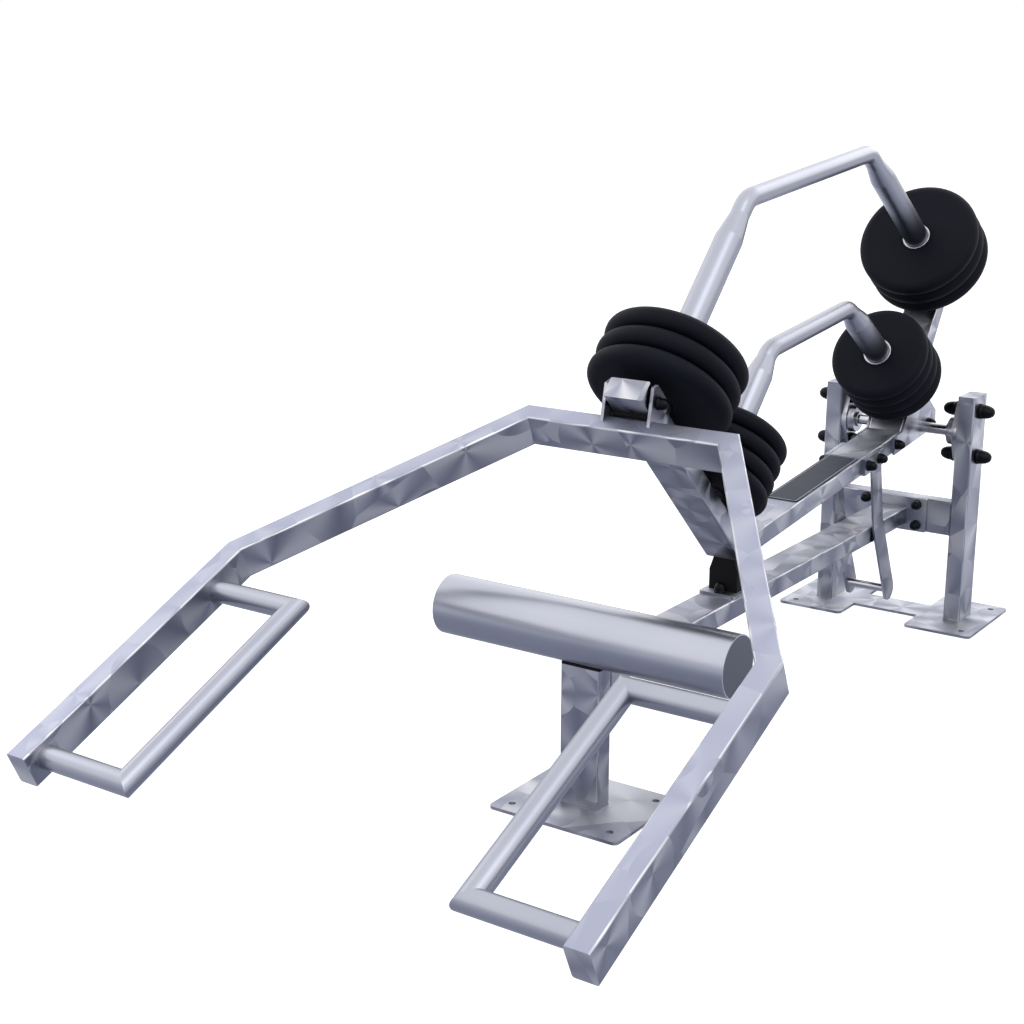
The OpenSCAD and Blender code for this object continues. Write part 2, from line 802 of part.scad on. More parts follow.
module stirrup_rod() {
  color(SATIN) on_lever() translate([0, rod_y, -rod_drop]) rotate([0, 90, 0])
    cylinder(r = rod_r, h = 2 * bar_x, center = true);
}

module stirrup_spacers() {
  color(STEEL) on_lever() for (side = [-1, 1]) difference() {
    sheet(side > 0 ? beam_w / 2 : -bar_x, spacer_t) stirrup_head();
    lever_bolt_bores((small_bolt_d + bore_fit) / 2);
  }
}

// Places one child at a lever bolt, Z running from the left face to the right
module at_lever_bolt(y, half) {
  on_lever() translate([-half, y, 0]) rotate([0, 90, 0]) children();
}

module lever_bolts() {
  color(SATIN) {
    for (y = [-cheek_bolt_front, cheek_bolt_rear])
      at_lever_bolt(y, cheek_x) through_bolt(2 * cheek_x, small_bolt_d);
    for (y = [bar_bolt_y, bar_bolt_y + stirrup_bolt_dy])
      at_lever_bolt(y, bar_x + bar_t) through_bolt(2 * (bar_x + bar_t), small_bolt_d);
  }
}

module lever_caps() {
  color(BLACK) {
    for (y = [-cheek_bolt_front, cheek_bolt_rear])
      at_lever_bolt(y, cheek_x) small_cap_pair(2 * cheek_x);
    for (y = [bar_bolt_y, bar_bolt_y + stirrup_bolt_dy])
      at_lever_bolt(y, bar_x + bar_t) small_cap_pair(2 * (bar_x + bar_t));
  }
}

module yoke_pad() {
  color(RUBBER) on_front_strut()
    translate([-yoke_pad_w / 2, -yoke_pad_t, hinge_along + edge_along - yoke_pad_down])
      cube([yoke_pad_w, yoke_pad_t, yoke_pad_down + yoke_pad_up]);
}

module yoke_crossbar() {
  color(STEEL) yoke_run(-yoke_half, 0, 90)
    mitred_tube(yoke_d, yoke_w, 2 * yoke_half, rear_mitre, rear_mitre);
}

module yoke_diagonal() {
  color(STEEL) yoke_run(yoke_half, 0, flare)
    mitred_tube(yoke_d, yoke_w, norm([leg_half - yoke_half, bend_reach]), rear_mitre, leg_mitre);
}

module yoke_leg() {
  len = leg_reach - bend_reach;
  color(STEEL) yoke_run(leg_half, bend_reach, 0) {
    mitred_tube(yoke_d, yoke_w, len, leg_mitre, 0);
    translate([0, yoke_w / 2, len - wall]) end_plate(yoke_d, yoke_w);
  }
}

module handle() {
  face_x = leg_half - yoke_w;
  outer_x = grip_x - grip_d / 2;
  outer_front = loop_front + grip_d / 2;
  outer_rear = loop_rear - grip_d / 2;
  color(SATIN) {
    yoke_run(face_x, outer_front, -90) mitred_pipe(grip_d, face_x - outer_x, 0, 45);
    yoke_run(outer_x, outer_front, 180) mitred_pipe(grip_d, outer_front - outer_rear, 45, 45);
    yoke_run(outer_x, outer_rear, 90) mitred_pipe(grip_d, face_x - outer_x, 45, 0);
  }
}

module yoke_ears() {
  inner_x = beam_w / 2 + ear_gap;
  color(STEEL) on_yoke() for (side = [-1, 1]) difference() {
    sheet(side > 0 ? inner_x : -inner_x - ear_t, ear_t) polygon([
      [-hinge_back - ear_front, -hinge_up],
      ear_r * [cos(ear_angles[0]), sin(ear_angles[0])],
      ear_r * [cos(ear_angles[1]), sin(ear_angles[1])],
      ear_back,
      [-hinge_back, -hinge_up - yoke_d],
      [-hinge_back, -hinge_up]]);
    rotate([0, 90, 0]) cylinder(r = hinge_d / 2 + run_gap, h = 3 * beam_w, center = true);
  }
}

// Places its children at the left ear's outer face, Z along the hinge bolt
module at_hinge_bolt() {
  on_yoke() translate([-ear_x, 0, 0]) rotate([0, 90, 0]) children();
}

// Shoulder bolt with a low round head on the left and a capped nut on the right
module hinge_bolt() {
  tip = washer_t + nut_height * small_bolt_d + thread_out;
  color(SATIN) at_hinge_bolt() {
    translate([0, 0, -hinge_head_h]) cylinder(r = small_cap_r, h = hinge_head_h);
    cylinder(d = hinge_d, h = 2 * ear_x);
    cylinder(d = small_bolt_d, h = 2 * ear_x + tip);
    translate([0, 0, 2 * ear_x]) washer_and_nut(small_bolt_d);
  }
}

module hinge_cap() {
  color(BLACK) at_hinge_bolt() translate([0, 0, 2 * ear_x]) small_cap();
}

module hinge_washers() {
  color(BLACK) on_yoke() for (side = [-1, 1])
    translate([side * (beam_w / 2 + ear_gap / 2 + touch_gap / 2), 0, 0]) rotate([0, 90, 0]) difference() {
      cylinder(d = hinge_d + 2 * washer_rim, h = ear_gap - touch_gap, center = true);
      cylinder(r = hinge_d / 2 + run_gap, h = ear_gap + 2, center = true);
    }
}

// Rubber disc with a round rim, moulded on a steel bush, from z = 0 to t
module disc(r, t) {
  skin = touch_gap;
  rim = (t - rim_flat) / 2 - skin;
  color(RUBBER) rotate_extrude($fn = 96) {
    translate([seat_r + slide_gap, 0]) square([bush_r - seat_r - slide_gap, t]);
    translate([bush_r, skin]) square([r - rim - bush_r, t - 2 * skin]);
    translate([r - rim, skin + rim]) square([rim, rim_flat]);
    for (z = [skin + rim, t - skin - rim]) translate([r - rim, z]) circle(rim);
  }
}

// Disc n of a stack, counted from the top, with as many discs as count
module upper_disc(n) translate([0, 0, collar_len + (3 - n) * upper_disc_t]) disc(upper_disc_r, upper_disc_t);
module lower_disc(n) translate([0, 0, collar_len + (4 - n) * lower_disc_t]) disc(lower_disc_r, lower_disc_t);
module upper_front_disc(n) on_front_seat(upper_v1, upper_l1) upper_disc(n);
module upper_rear_disc(n) on_rear_seat(upper_v2, upper_l2) upper_disc(n);
module lower_front_disc(n) on_front_seat(lower_v1, lower_l1) lower_disc(n);
module lower_rear_disc(n) on_rear_seat(lower_v2, lower_l2) lower_disc(n);

rear_base_plate();
rear_post(-1);  // left_rear_post
rear_post(1);  // right_rear_post
rear_crossbar();
beam_flange();
floor_beam();
front_post();
front_base_plate();
foot_tube();
foot_tube_saddle();
stop_plate();
stop_block();
guide_pads();
bearing(-1);  // left_bearing
bearing(1);  // right_bearing
stand_bolts();
stand_caps();
lever_beam();
front_strut();
rear_strut();
side_plate(-1);  // left_side_plate
side_plate(1);  // right_side_plate
axle();
bearing_rings();
upper_arch();
lower_arch();
arch_collars();
info_plate();
stirrup_bar(-1);  // left_stirrup_bar
stirrup_bar(1);  // right_stirrup_bar
stirrup_rod();
stirrup_spacers();
lever_bolts();
lever_caps();
yoke_pad();
yoke_crossbar();
mirror([1, 0, 0]) yoke_diagonal();  // left_yoke_diagonal
yoke_diagonal();  // right_yoke_diagonal
mirror([1, 0, 0]) yoke_leg();  // left_yoke_leg
yoke_leg();  // right_yoke_leg
yoke_ears();
mirror([1, 0, 0]) handle();  // left_handle
handle();  // right_handle
hinge_bolt();
hinge_cap();
hinge_washers();
upper_front_disc(1);  // upper_front_disc_1
upper_front_disc(2);  // upper_front_disc_2
upper_front_disc(3);  // upper_front_disc_3
upper_rear_disc(1);  // upper_rear_disc_1
upper_rear_disc(2);  // upper_rear_disc_2
upper_rear_disc(3);  // upper_rear_disc_3
lower_front_disc(1);  // lower_front_disc_1
lower_front_disc(2);  // lower_front_disc_2
lower_front_disc(3);  // lower_front_disc_3
lower_front_disc(4);  // lower_front_disc_4
lower_rear_disc(1);  // lower_rear_disc_1
lower_rear_disc(2);  // lower_rear_disc_2
lower_rear_disc(3);  // lower_rear_disc_3
lower_rear_disc(4);  // lower_rear_disc_4
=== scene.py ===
# %% [markdown]
# # Dressing a deadlift station
# The station is an outdoor strength machine of ground stainless steel. A floor stand
# carries a lever on an axle, two bent tubes on the lever carry sliding rubber discs, and a
# wide yoke with two hand loops reaches forward. The solids come packed and stay where they
# are. This lesson gives them their finishes, and makes anew the pieces whose real surface
# is finer than the solids show: discs, bushes, domed caps and weld beads.

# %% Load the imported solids
import math

import bmesh
import bpy
from mathutils import Matrix, Vector


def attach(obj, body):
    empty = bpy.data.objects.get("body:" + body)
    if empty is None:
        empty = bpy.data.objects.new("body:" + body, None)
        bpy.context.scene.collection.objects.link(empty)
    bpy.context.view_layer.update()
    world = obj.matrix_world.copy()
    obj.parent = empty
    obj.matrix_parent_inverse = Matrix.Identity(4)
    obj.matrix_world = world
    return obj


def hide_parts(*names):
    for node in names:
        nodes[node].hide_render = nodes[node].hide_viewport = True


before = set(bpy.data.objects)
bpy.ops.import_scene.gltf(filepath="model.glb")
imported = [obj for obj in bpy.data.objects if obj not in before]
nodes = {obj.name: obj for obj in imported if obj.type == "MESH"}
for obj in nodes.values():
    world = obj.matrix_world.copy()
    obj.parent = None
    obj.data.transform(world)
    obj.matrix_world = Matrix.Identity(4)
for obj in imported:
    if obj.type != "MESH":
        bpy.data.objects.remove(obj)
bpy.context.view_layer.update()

# %% [markdown]
# ## Camera
# The photograph was taken from the front right, a little above the hand loops. Fitting the
# edges of the plates, posts and beams gave the place and the lens below, so the same edges
# land on the same pixels. Any other place would bend every proportion a little.

# %% Camera
CAMERA_PLACE = (1.5011, -3.7790, 1.2958)
CAMERA_TILT = 75.0
CAMERA_TURN = 34.78
CAMERA_ROLL = 0.14
LENS_MM = 60.31
SENSOR_MM = 36.0

camera_data = bpy.data.cameras.new("photo_camera")
camera_data.lens = LENS_MM
camera_data.sensor_width = SENSOR_MM
camera_data.clip_end = 200.0
camera = bpy.data.objects.new("photo_camera", camera_data)
bpy.context.scene.collection.objects.link(camera)
camera.matrix_world = (
    Matrix.Translation(CAMERA_PLACE)
    @ Matrix.Rotation(math.radians(CAMERA_TURN), 4, "Z")
    @ Matrix.Rotation(math.radians(CAMERA_TILT), 4, "X")
    @ Matrix.Rotation(math.radians(CAMERA_ROLL), 4, "Z")
)
bpy.context.scene.camera = camera
print("camera at", CAMERA_PLACE, "lens", LENS_MM, "mm")

# %% [markdown]
# ## Two small helpers for node trees
# Every finish below is a tree of nodes. A helper that makes a node and fills its sockets,
# and one that wires a chain of nodes together, keep each recipe short enough to read.


# %% Node helpers
def add_node(tree, kind, sockets=None, **settings):
    """A new node with its settings and the values of its input sockets."""
    made = tree.nodes.new("ShaderNode" + kind)
    for name, value in settings.items():
        setattr(made, name, value)
    for name, value in (sockets or {}).items():
        target = made.inputs[name]
        if isinstance(value, bpy.types.NodeSocket):
            tree.links.new(value, target)
        else:
            target.default_value = value
    return made


def maths(tree, what, a, b=0.0):
    """The output of one step of arithmetic."""
    return add_node(tree, "Math", {0: a, 1: b}, operation=what).outputs[0]


def vectors(tree, what, a, b=(0.0, 0.0, 0.0)):
    """The output of one step of vector arithmetic: a number for dot products and distances."""
    made = add_node(tree, "VectorMath", {0: a, 1: b}, operation=what)
    return made.outputs["Value" if what in ("DOT_PRODUCT", "LENGTH", "DISTANCE") else "Vector"]


def ramp(tree, factor, stops):
    """A colour ramp over a factor, from (place, colour) stops."""
    made = add_node(tree, "ValToRGB", {"Fac": factor})
    while len(made.color_ramp.elements) < len(stops):
        made.color_ramp.elements.new(0.5)
    for element, (place, colour) in zip(made.color_ramp.elements, stops):
        element.position = place
        element.color = (*colour, 1.0)
    return made.outputs["Color"]


def new_finish(name):
    """A material with an empty tree, and the shader and output that it ends in."""
    made = bpy.data.materials.new(name)
    made.use_nodes = True
    tree = made.node_tree
    tree.nodes.clear()
    shader = add_node(tree, "BsdfPrincipled")
    add_node(tree, "OutputMaterial", {"Surface": shader.outputs["BSDF"]})
    return made, tree, shader


def bump(tree, shader, height, strength, distance):
    """Relief on a shader's normal, from a height."""
    sockets = {"Height": height, "Strength": strength, "Distance": distance}
    relief = add_node(tree, "Bump", sockets)
    tree.links.new(relief.outputs["Normal"], shader.inputs["Normal"])


# %% [markdown]
# ## Swirl-ground flat steel
# The flat sides of the real tubes and plates are ground with a round pad, one patch after
# another. In each patch the scratches run in circles, so light comes back as two fans that
# meet in the patch's middle. The recipe makes the patches with two layers of cells, takes
# the direction of the scratches as a circle about the nearest middle, and hands it to the
# shader as the tangent of a stretched highlight. Two faint crossed fans are also painted into
# the colour, a painted highlight that stays under flat light, and fine rings give the
# scratches themselves. Faces that look up are painted toward one bluish tone, a painted sky
# reflection that hides their painted fans, and their gloss is blurred. The yoke's top faces
# are painted so almost fully, the others about half.

# %% Swirl-ground steel
# The fans' sharpness is a power, the stops are places on the ramp of tones, and a face counts
# as a top between the two heights of its normal.
PATCHES_PER_METRE = 7.2
ROUND_PATCHES_PER_METRE = 6.0
ROUND_PATCH_RADIUS = 0.42
ROUND_PATCH_SHIFT = (3.1, 1.7, 0.4)
RINGS_PER_METRE = 900.0
FAN_SHARPNESS = 2.2
CROSS_SHARPNESS = 5.0
CROSS_STRENGTH = 0.8
FAN_STOPS = (0.0, 0.40, 0.95)
TOP_STARTS, TOP_FULL = 0.8, 0.95
TOP_BLUR = 0.20
STRETCH = 0.8
GRIND_RELIEF = 0.05
FINE_DEPTH = 0.0004
# Painted sky reflection: the bluish tone painted on faces that look up.
TOP_SKY_REFLECTION_TONE = (0.268, 0.281, 0.362, 1.0)
# Painted highlight: the dark, middle and light tones that the fans paint into the steel's colour.
FAN_HIGHLIGHT_TONES = ((0.190, 0.197, 0.240), (0.285, 0.292, 0.336), (0.465, 0.465, 0.482))
GROUND_ROUGHNESS = 0.30


def patch_cells(tree, place, per_metre, shift):
    """Distance to, middle of and random direction of the patch that holds each point."""
    moved = vectors(tree, "ADD", place, shift)
    sockets = {"Vector": moved, "Scale": per_metre, "Randomness": 0.9}
    cells = add_node(tree, "TexVoronoi", sockets)
    middle = vectors(tree, "SUBTRACT", cells.outputs["Position"], shift)
    return cells.outputs["Distance"], middle, cells.outputs["Color"]


def choose(tree, factor, a, b):
    """Vector a where the factor is 0 and b where it is 1."""
    mixed = add_node(tree, "Mix", {0: factor, 4: a, 5: b}, data_type="VECTOR")
    return mixed.outputs[1]


def swirl_steel(name, tones, rough, top_calm):
    """Ground flat steel: painted highlight fans between three tones, and a painted sky tone on
    top.
    """
    made, tree, shader = new_finish(name)
    spot = add_node(tree, "TexCoord")
    place, facing = spot.outputs["Object"], spot.outputs["Normal"]
    _, middle_a, random_a = patch_cells(tree, place, PATCHES_PER_METRE, (0.0, 0.0, 0.0))
    far, middle_b, random_b = patch_cells(
        tree, place, ROUND_PATCHES_PER_METRE, ROUND_PATCH_SHIFT
    )
    on_round = maths(tree, "LESS_THAN", far, ROUND_PATCH_RADIUS)
    middle = choose(tree, on_round, middle_a, middle_b)
    chance = choose(tree, on_round, random_a, random_b)

    spoke = vectors(tree, "SUBTRACT", place, middle)
    along = vectors(tree, "CROSS_PRODUCT", facing, spoke)
    sockets = {"Vector": along}
    turned = add_node(
        tree, "VectorTransform", sockets, vector_type="VECTOR",
        convert_from="OBJECT", convert_to="WORLD",
    )
    tree.links.new(turned.outputs["Vector"], shader.inputs["Tangent"])

    outward = vectors(tree, "NORMALIZE", vectors(tree, "CROSS_PRODUCT", along, facing))
    pull = vectors(tree, "NORMALIZE", vectors(tree, "SUBTRACT", chance, (0.5, 0.5, 0.5)))
    toward = vectors(tree, "DOT_PRODUCT", outward, pull)
    square = maths(tree, "MULTIPLY", toward, toward)
    fan = maths(tree, "POWER", square, FAN_SHARPNESS)
    cross = maths(tree, "POWER", maths(tree, "SUBTRACT", 1.0, square), CROSS_SHARPNESS)
    fan = maths(tree, "MAXIMUM", fan, maths(tree, "MULTIPLY", cross, CROSS_STRENGTH))
    up = vectors(tree, "DOT_PRODUCT", facing, (0.0, 0.0, 1.0))
    sockets = {"Value": up, "From Min": TOP_STARTS, "From Max": TOP_FULL}
    on_top = add_node(tree, "MapRange", sockets).outputs["Result"]
    calm = maths(tree, "MULTIPLY", on_top, top_calm)
    # The fans paint a highlight into the colour; faces that look up are painted the sky's tone
    # instead.
    ground = ramp(tree, fan, list(zip(FAN_STOPS, tones)))
    sockets = {0: calm, 6: ground, 7: TOP_SKY_REFLECTION_TONE}
    colour = add_node(tree, "Mix", sockets, data_type="RGBA").outputs[2]
    tree.links.new(colour, shader.inputs["Base Color"])

    reach = vectors(tree, "LENGTH", along)
    sockets = {"W": maths(tree, "MULTIPLY", reach, RINGS_PER_METRE), "Detail": 3.0}
    rings = add_node(tree, "TexNoise", sockets, noise_dimensions="1D").outputs["Fac"]
    sockets = {"Value": rings, "To Min": rough - 0.05, "To Max": rough + 0.07}
    spread = add_node(tree, "MapRange", sockets).outputs["Result"]
    spread = maths(tree, "ADD", spread, maths(tree, "MULTIPLY", on_top, TOP_BLUR))
    tree.links.new(spread, shader.inputs["Roughness"])
    bump(tree, shader, rings, GRIND_RELIEF, FINE_DEPTH)
    sockets = {"Value": calm, "To Min": STRETCH, "To Max": 0.0}
    stretch = add_node(tree, "MapRange", sockets).outputs["Result"]
    tree.links.new(stretch, shader.inputs["Anisotropic"])
    shader.inputs["Metallic"].default_value = 1.0
    return made


swirl = swirl_steel("swirl_ground_steel_painted_fans", FAN_HIGHLIGHT_TONES, GROUND_ROUGHNESS, 0.30)
calm_swirl = swirl_steel("ground_steel_painted_fans_sky_tops", FAN_HIGHLIGHT_TONES, GROUND_ROUGHNESS, 1.0)
print("made", swirl.name, calm_swirl.name)

# %% [markdown]
# ## Satin round steel
# The arches, loops and foot tube are belted along their length and lightly polished, so they
# show one long soft highlight. A grain in the roughness stands for the belt's lines: it can
# be drawn out along one axis, as on the straight foot tube, or left even on bent tubes. The
# foot tube's end discs get a darker tone, inside a bright rim that is a painted highlight on
# their edge.

# %% Satin round steel
FOOT_TUBE_AXIS = (0.0, -1.390, 0.323)
FOOT_TUBE_RADIUS = 0.055
# Painted highlight: a bright ring painted round the edge of the foot tube's end discs.
RIM_HIGHLIGHT_WIDTH = 0.0018
RIM_HIGHLIGHT_TONE = (0.62, 0.62, 0.66, 1.0)


def satin_steel(name, low, high, rough, grain, mottle, end_tone=None):
    """Round steel with a fine grain and slow clouds of tone; with an end tone, darker ends inside
    a painted rim highlight.
    """
    made, tree, shader = new_finish(name)
    spot = add_node(tree, "TexCoord")
    place = spot.outputs["Object"]
    sockets = {"Vector": place, "Scale": 5.0, "Detail": 2.0}
    clouds = add_node(tree, "TexNoise", sockets).outputs["Fac"]
    colour = ramp(tree, clouds, [(0.35, low), (0.65, high)])
    if end_tone:
        side = vectors(tree, "DOT_PRODUCT", spot.outputs["Normal"], (1.0, 0.0, 0.0))
        on_end = maths(tree, "GREATER_THAN", maths(tree, "ABSOLUTE", side), 0.9)
        sockets = {0: on_end, 6: colour, 7: (*end_tone, 1.0)}
        colour = add_node(tree, "Mix", sockets, data_type="RGBA").outputs[2]
        across = vectors(tree, "MULTIPLY", place, (0.0, 1.0, 1.0))
        from_axis = vectors(tree, "DISTANCE", across, FOOT_TUBE_AXIS)
        # The bright rim is a painted highlight on the end discs' edge.
        on_rim_highlight = maths(tree, "GREATER_THAN", from_axis, FOOT_TUBE_RADIUS - RIM_HIGHLIGHT_WIDTH)
        sockets = {0: maths(tree, "MULTIPLY", on_end, on_rim_highlight), 6: colour, 7: RIM_HIGHLIGHT_TONE}
        colour = add_node(tree, "Mix", sockets, data_type="RGBA").outputs[2]
    tree.links.new(colour, shader.inputs["Base Color"])
    drawn = vectors(tree, "MULTIPLY", place, grain)
    sockets = {"Vector": drawn, "Scale": 1.0, "Detail": 2.0, "Roughness": 0.5}
    grains = add_node(tree, "TexNoise", sockets).outputs["Fac"]
    sockets = {"Value": grains, "From Min": 0.3, "From Max": 0.7}
    sockets.update({"To Min": rough - mottle, "To Max": rough + mottle})
    spread = add_node(tree, "MapRange", sockets).outputs["Result"]
    tree.links.new(spread, shader.inputs["Roughness"])
    shader.inputs["Metallic"].default_value = 1.0
    return made


satin = satin_steel(
    "satin_round_steel", (0.258, 0.266, 0.312), (0.280, 0.288, 0.332), 0.34,
    (700.0, 700.0, 700.0), 0.02,
)
belted = satin_steel(
    "belted_foot_tube_steel", (0.305, 0.314, 0.362), (0.325, 0.334, 0.380), 0.29,
    (4.0, 600.0, 600.0), 0.015, (0.128, 0.131, 0.150),
)
bright = satin_steel(
    "turned_bright_steel", (0.34, 0.34, 0.36), (0.40, 0.40, 0.42), 0.20,
    (900.0, 900.0, 900.0), 0.04,
)
welded = satin_steel(
    "brushed_weld_steel", (0.15, 0.15, 0.18), (0.20, 0.20, 0.23), 0.42,
    (700.0, 700.0, 700.0), 0.06,
)
print("made", satin.name, belted.name, bright.name, welded.name)

# %% [markdown]
# ## Rubber and plastic
# The discs are moulded rubber, nearly black with a cold tone, and matt with a dust-fine
# grain. The stop block and the pad are the same rubber cut from a sheet. The domed caps
# over the nuts are injection-moulded plastic, which is smoother and shows a small highlight.


# %% Rubber and plastic
def black_finish(name, low, high, rough, grain, relief, shine):
    """A black non-metal with a fine grain."""
    made, tree, shader = new_finish(name)
    place = add_node(tree, "TexCoord").outputs["Object"]
    sockets = {"Vector": place, "Scale": 9.0, "Detail": 5.0}
    clouds = add_node(tree, "TexNoise", sockets).outputs["Fac"]
    colour = ramp(tree, clouds, [(0.35, low), (0.7, high)])
    tree.links.new(colour, shader.inputs["Base Color"])
    sockets = {"Vector": place, "Scale": grain, "Detail": 2.0}
    grains = add_node(tree, "TexNoise", sockets).outputs["Fac"]
    sockets = {"Value": grains, "To Min": rough - 0.06, "To Max": rough + 0.08}
    spread = add_node(tree, "MapRange", sockets).outputs["Result"]
    tree.links.new(spread, shader.inputs["Roughness"])
    bump(tree, shader, grains, relief, FINE_DEPTH)
    shader.inputs["Specular IOR Level"].default_value = shine
    return made


disc_rubber = black_finish(
    "moulded_disc_rubber", (0.0034, 0.0042, 0.0078), (0.0054, 0.0064, 0.0112),
    0.60, 850.0, 0.2, 0.08,
)
cut_rubber = black_finish(
    "cut_block_rubber", (0.0045, 0.0045, 0.0052), (0.0070, 0.0070, 0.0080),
    0.66, 500.0, 0.3, 0.12,
)
cap_plastic = black_finish(
    "moulded_cap_plastic", (0.0018, 0.0023, 0.0048), (0.0028, 0.0034, 0.0064),
    0.30, 600.0, 0.05, 0.09,
)
print("made", disc_rubber.name, cut_rubber.name, cap_plastic.name)

# %% [markdown]
# ## Bare sign plate
# On the real machine a printed sign lies on the lever's beam. Its print is left off, so
# the plate is bare: a slate-blue coating with a thin pale line just inside its edge. The
# line is drawn by distance from the edge in the plate's own plane, which is the beam's.

# %% Sign plate
AXLE = Vector((0.0, 0.0, 0.451))
REST_TILT = math.radians(6.0)
LEVER = Matrix.Translation(AXLE) @ Matrix.Rotation(REST_TILT, 4, "X")
SIGN_MIDDLE = Vector((0.0, -0.490, 0.022))
SIGN_HALF = (0.036, 0.155)
LINE_INSET = 0.004
LINE_WIDTH = 0.0016
LINE_TONE = (0.45, 0.47, 0.52)
SLATE_LOW, SLATE_HIGH = (0.018, 0.023, 0.042), (0.026, 0.032, 0.053)


def sign_finish(name):
    """A coated plate with a thin line round it."""
    made, tree, shader = new_finish(name)
    place = add_node(tree, "TexCoord").outputs["Object"]
    centre = LEVER @ SIGN_MIDDLE
    offset = vectors(tree, "SUBTRACT", place, tuple(centre))
    across = maths(tree, "ABSOLUTE", vectors(tree, "DOT_PRODUCT", offset, (1.0, 0.0, 0.0)))
    ahead = tuple(LEVER.to_3x3() @ Vector((0.0, 1.0, 0.0)))
    along = maths(tree, "ABSOLUTE", vectors(tree, "DOT_PRODUCT", offset, ahead))
    side_gap = maths(tree, "SUBTRACT", SIGN_HALF[0] - LINE_INSET, across)
    end_gap = maths(tree, "SUBTRACT", SIGN_HALF[1] - LINE_INSET, along)
    nearest = maths(tree, "MINIMUM", side_gap, end_gap)
    line = maths(tree, "COMPARE", nearest, 0.0)
    line.node.inputs[2].default_value = LINE_WIDTH / 2
    sockets = {"Vector": place, "Scale": 30.0, "Detail": 6.0}
    clouds = add_node(tree, "TexNoise", sockets).outputs["Fac"]
    slate = ramp(tree, clouds, [(0.3, SLATE_LOW), (0.7, SLATE_HIGH)])
    pale = (*LINE_TONE, 1.0)
    mixed = add_node(tree, "Mix", {0: line, 6: slate, 7: pale}, data_type="RGBA")
    tree.links.new(mixed.outputs[2], shader.inputs["Base Color"])
    shader.inputs["Roughness"].default_value = 0.5
    shader.inputs["Specular IOR Level"].default_value = 0.12
    return made


sign = sign_finish("bare_sign_coating")
print("made", sign.name)

# %% [markdown]
# ## Finish for every solid
# Each solid keeps its shape and only swaps its finish. The list says which finish a real
# maker would give each piece: ground flats, satin rounds, bright pins and black soft parts.

# %% Give each solid its finish
FINISHES = {
    belted: ["foot_tube"],
    satin: ["upper_arch", "lower_arch", "left_handle", "right_handle"],
    bright: [
        "axle", "bearing_rings", "stirrup_rod", "stand_bolts", "lever_bolts", "hinge_bolt",
        "arch_collars",
    ],
    cap_plastic: ["stand_caps", "lever_caps", "hinge_cap", "hinge_washers", "guide_pads"],
    cut_rubber: ["stop_block", "yoke_pad", "foot_tube_saddle"],
    sign: ["info_plate"],
    calm_swirl: [
        "yoke_crossbar", "left_yoke_diagonal", "right_yoke_diagonal",
        "left_yoke_leg", "right_yoke_leg",
    ],
}
finish_of = {name: finish for finish, names in FINISHES.items() for name in names}
for name, solid in nodes.items():
    solid.data.materials.clear()
    solid.data.materials.append(finish_of.get(name, swirl))
print("finished", len(nodes), "solids")

# %% [markdown]
# ## Turned profiles
# Discs and bushes are round, so each is a profile spun about its axis, as a mould or a lathe
# would make it. The helper takes the profile as radius and height, closed on itself.

# %% Spin a profile
SPIN_STEPS = 128


def place_piece(piece, body, finish):
    """Puts a finished mesh object in the scene, on its body and with its finish."""
    piece.data.materials.append(finish)
    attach(piece, body)
    return piece


def spin(name, profile, steps=SPIN_STEPS):
    """A closed solid from a closed profile of (radius, height) points, about Z."""
    mesh = bpy.data.meshes.new(name)
    shape = bmesh.new()
    rings = []
    for step in range(steps):
        turn = 2.0 * math.pi * step / steps
        c, s = math.cos(turn), math.sin(turn)
        rings.append([shape.verts.new((r * c, r * s, z)) for r, z in profile])
    count = len(profile)
    for step in range(steps):
        here, after = rings[step], rings[(step + 1) % steps]
        for k in range(count):
            nxt = (k + 1) % count
            shape.faces.new((here[k], after[k], after[nxt], here[nxt]))
    bmesh.ops.remove_doubles(shape, verts=shape.verts, dist=1e-6)
    bmesh.ops.recalc_face_normals(shape, faces=shape.faces)
    shape.to_mesh(mesh)
    shape.free()
    piece = bpy.data.objects.new(name, mesh)
    bpy.context.scene.collection.objects.link(piece)
    return piece


def smooth_by_angle(piece, degrees):
    """Smooth shading that stays sharp where faces meet at more than an angle."""
    mesh = piece.data
    mesh.polygons.foreach_set("use_smooth", [True] * len(mesh.polygons))
    mesh.set_sharp_from_angle(angle=math.radians(degrees))


def arc(middle, radius, start, end, steps):
    """Points of an arc in a profile, in degrees from the radius axis."""
    points = []
    for k in range(steps + 1):
        turn = math.radians(start + (end - start) * k / steps)
        points.append((middle[0] + radius * math.cos(turn), middle[1] + radius * math.sin(turn)))
    return points


# %% [markdown]
# ## Rubber discs
# A disc is moulded round a steel bush. Its faces are flat with a shallow ring round the
# bush, and its rim is almost half round, so a stack shows deep soft grooves. Each bush ends
# a hair short of its neighbour, so that stacked discs don't share a plane. The stacks slide
# on seats that stand square on the two struts, so each stack has its own axis.

